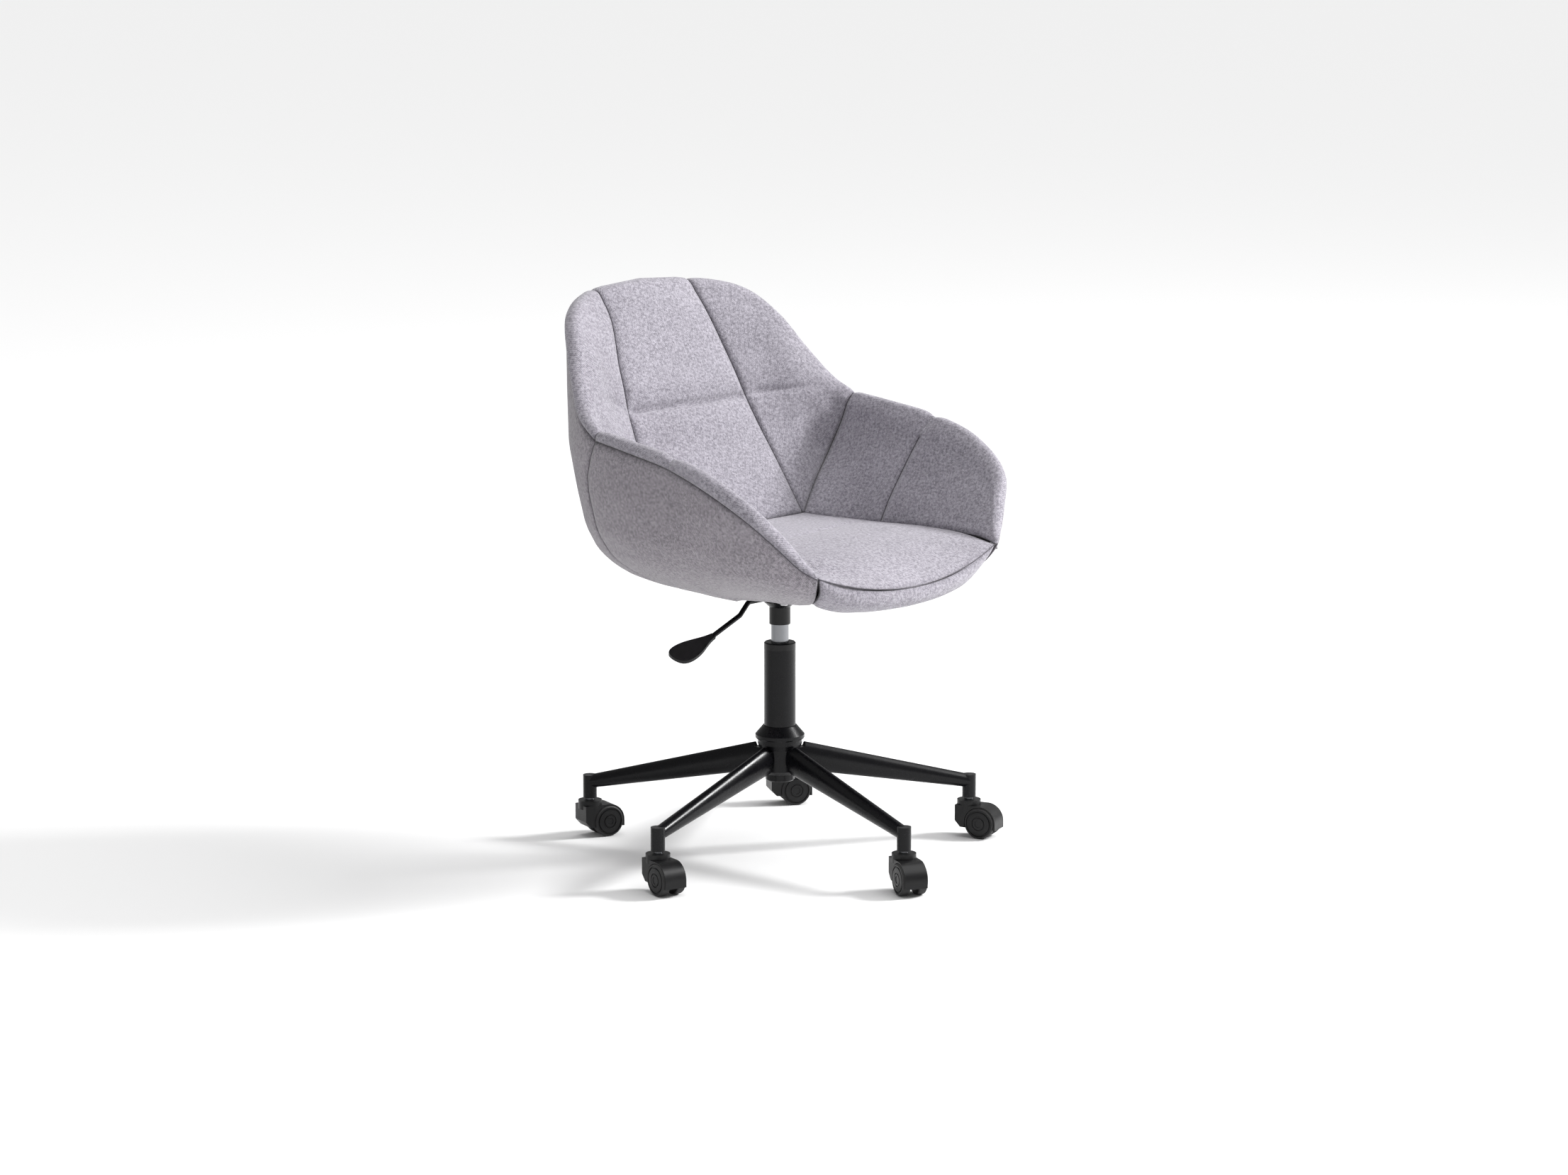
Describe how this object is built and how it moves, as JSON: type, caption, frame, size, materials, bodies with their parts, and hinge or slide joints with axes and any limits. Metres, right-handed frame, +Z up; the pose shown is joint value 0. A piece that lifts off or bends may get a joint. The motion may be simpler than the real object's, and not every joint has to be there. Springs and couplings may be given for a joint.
{
  "type": "swivel chair",
  "caption": "Upholstered tub armchair on a gas lift with a side lever, a star base of oval tube legs and twin-wheel swivel casters.",
  "frame": {"origin": "on the floor under the middle of the column", "axes": "+Z up along the column, -Y the way the seat faces, +X the sitter's left"},
  "size_m": [0.6658, 0.6926, 0.884],
  "materials": {
    "black_metal": "satin black powder coat",
    "black_plastic": "matte moulded black",
    "chrome": "bright chrome",
    "steel": "zinc-plated steel",
    "plywood": "plain plywood",
    "shell": "moulded shell under the cover",
    "black_cloth": "black non-woven dust cloth",
    "cover_fabric": "woven chenille",
    "pad_fabric": "woven chenille"
  },
  "bodies": {
    "base": {"base_hub": "black_metal", "hub_cover": "black_metal", "hub_lower_ring": "black_metal", "base_leg_1": "black_metal", "base_leg_2": "black_metal", "base_leg_3": "black_metal", "base_leg_4": "black_metal", "base_leg_5": "black_metal", "column_tube": "black_metal", "guide_bush": "black_plastic", "caster_stems": "chrome"},
    "swivel": {"piston_rod": "steel", "thrust_bearing": "steel", "rod_clip": "steel"},
    "seat": {"gas_cylinder": "chrome", "cylinder_sleeve": "black_plastic", "lift_cone": "black_metal", "mounting_plate": "black_metal", "plate_bolts": "steel", "seat_board": "plywood", "tee_nuts": "steel", "dust_cover": "black_cloth", "tub_pan": "shell", "seat_cushion": "pad_fabric", "seat_front_border": "cover_fabric", "outer_back_cover": "cover_fabric", "outer_side_left": "cover_fabric", "outer_side_right": "cover_fabric", "back_centre_pad": "pad_fabric", "wing_pad_left": "pad_fabric", "wing_pad_right": "pad_fabric", "arm_pad_left": "pad_fabric", "arm_pad_right": "pad_fabric"},
    "lever": {"lever_rod": "black_metal", "lever_paddle": "black_plastic"},
    "valve": {"release_pin": "steel"},
    "caster_1": {"caster_hood_1": "black_plastic", "caster_axle_1": "steel"},
    "wheel_left_1": {"wheel_left_1": "black_plastic"},
    "wheel_right_1": {"wheel_right_1": "black_plastic"},
    "caster_2": {"caster_hood_2": "black_plastic", "caster_axle_2": "steel"},
    "wheel_left_2": {"wheel_left_2": "black_plastic"},
    "wheel_right_2": {"wheel_right_2": "black_plastic"},
    "caster_3": {"caster_hood_3": "black_plastic", "caster_axle_3": "steel"},
    "wheel_left_3": {"wheel_left_3": "black_plastic"},
    "wheel_right_3": {"wheel_right_3": "black_plastic"},
    "caster_4": {"caster_hood_4": "black_plastic", "caster_axle_4": "steel"},
    "wheel_left_4": {"wheel_left_4": "black_plastic"},
    "wheel_right_4": {"wheel_right_4": "black_plastic"},
    "caster_5": {"caster_hood_5": "black_plastic", "caster_axle_5": "steel"},
    "wheel_left_5": {"wheel_left_5": "black_plastic"},
    "wheel_right_5": {"wheel_right_5": "black_plastic"}
  },
  "joints": [
    {"name": "seat_swivel", "type": "hinge", "parent": "base", "child": "swivel", "pos_m": [0, 0, 0.14], "axis": [0, 0, 1], "continuous": true},
    {"name": "seat_lift", "type": "slide", "parent": "swivel", "child": "seat", "axis": [0, 0, 1], "range_m": [0, 0.08]},
    {"name": "lever_lift", "type": "hinge", "parent": "seat", "child": "lever", "pos_m": [-0.06, 0, 0.411], "axis": [0, 1, 0], "range_deg": [0, 5], "stiffness_Nm_per_rad": 1, "springref_deg": -5.73},
    {"name": "release_press", "type": "slide", "parent": "seat", "child": "valve", "axis": [0, 0, -1], "range_m": [0, 0.0055]},
    {"name": "caster_swivel_1", "type": "hinge", "parent": "base", "child": "caster_1", "pos_m": [0.2325, 0.21987, 0.06], "axis": [0, 0, 1], "continuous": true},
    {"name": "wheel_spin_left_1", "type": "hinge", "parent": "caster_1", "child": "wheel_left_1", "pos_m": [0.25371, 0.20662, 0.025], "axis": [-0.5299, -0.848, 0], "continuous": true},
    {"name": "wheel_spin_right_1", "type": "hinge", "parent": "caster_1", "child": "wheel_right_1", "pos_m": [0.25371, 0.20662, 0.025], "axis": [-0.5299, -0.848, 0], "continuous": true},
    {"name": "caster_swivel_2", "type": "hinge", "parent": "base", "child": "caster_2", "pos_m": [-0.13726, 0.28907, 0.06], "axis": [0, 0, 1], "continuous": true},
    {"name": "wheel_spin_left_2", "type": "hinge", "parent": "caster_2", "child": "wheel_left_2", "pos_m": [-0.11335, 0.28176, 0.025], "axis": [-0.2924, -0.9563, 0], "continuous": true},
    {"name": "wheel_spin_right_2", "type": "hinge", "parent": "caster_2", "child": "wheel_right_2", "pos_m": [-0.11335, 0.28176, 0.025], "axis": [-0.2924, -0.9563, 0], "continuous": true},
    {"name": "caster_swivel_3", "type": "hinge", "parent": "base", "child": "caster_3", "pos_m": [-0.31733, -0.04122, 0.06], "axis": [0, 0, 1], "continuous": true},
    {"name": "wheel_spin_left_3", "type": "hinge", "parent": "caster_3", "child": "wheel_left_3", "pos_m": [-0.32338, -0.06547, 0.025], "axis": [-0.9703, 0.2419, 0], "continuous": true},
    {"name": "wheel_spin_right_3", "type": "hinge", "parent": "caster_3", "child": "wheel_right_3", "pos_m": [-0.32338, -0.06547, 0.025], "axis": [-0.9703, 0.2419, 0], "continuous": true},
    {"name": "caster_swivel_4", "type": "hinge", "parent": "base", "child": "caster_4", "pos_m": [-0.05886, -0.31454, 0.06], "axis": [0, 0, 1], "continuous": true},
    {"name": "wheel_spin_left_4", "type": "hinge", "parent": "caster_4", "child": "wheel_left_4", "pos_m": [-0.07021, -0.33681, 0.025], "axis": [-0.891, 0.454, 0], "continuous": true},
    {"name": "wheel_spin_right_4", "type": "hinge", "parent": "caster_4", "child": "wheel_right_4", "pos_m": [-0.07021, -0.33681, 0.025], "axis": [-0.891, 0.454, 0], "continuous": true},
    {"name": "caster_swivel_5", "type": "hinge", "parent": "base", "child": "caster_5", "pos_m": [0.28096, -0.15318, 0.06], "axis": [0, 0, 1], "continuous": true},
    {"name": "wheel_spin_left_5", "type": "hinge", "parent": "caster_5", "child": "wheel_left_5", "pos_m": [0.28868, -0.17696, 0.025], "axis": [-0.9511, -0.309, 0], "continuous": true},
    {"name": "wheel_spin_right_5", "type": "hinge", "parent": "caster_5", "child": "wheel_right_5", "pos_m": [0.28868, -0.17696, 0.025], "axis": [-0.9511, -0.309, 0], "continuous": true}
  ],
  "couplings": [
    {"joint": "release_press", "follows": "lever_lift", "m_per_rad": 0.06}
  ]
}
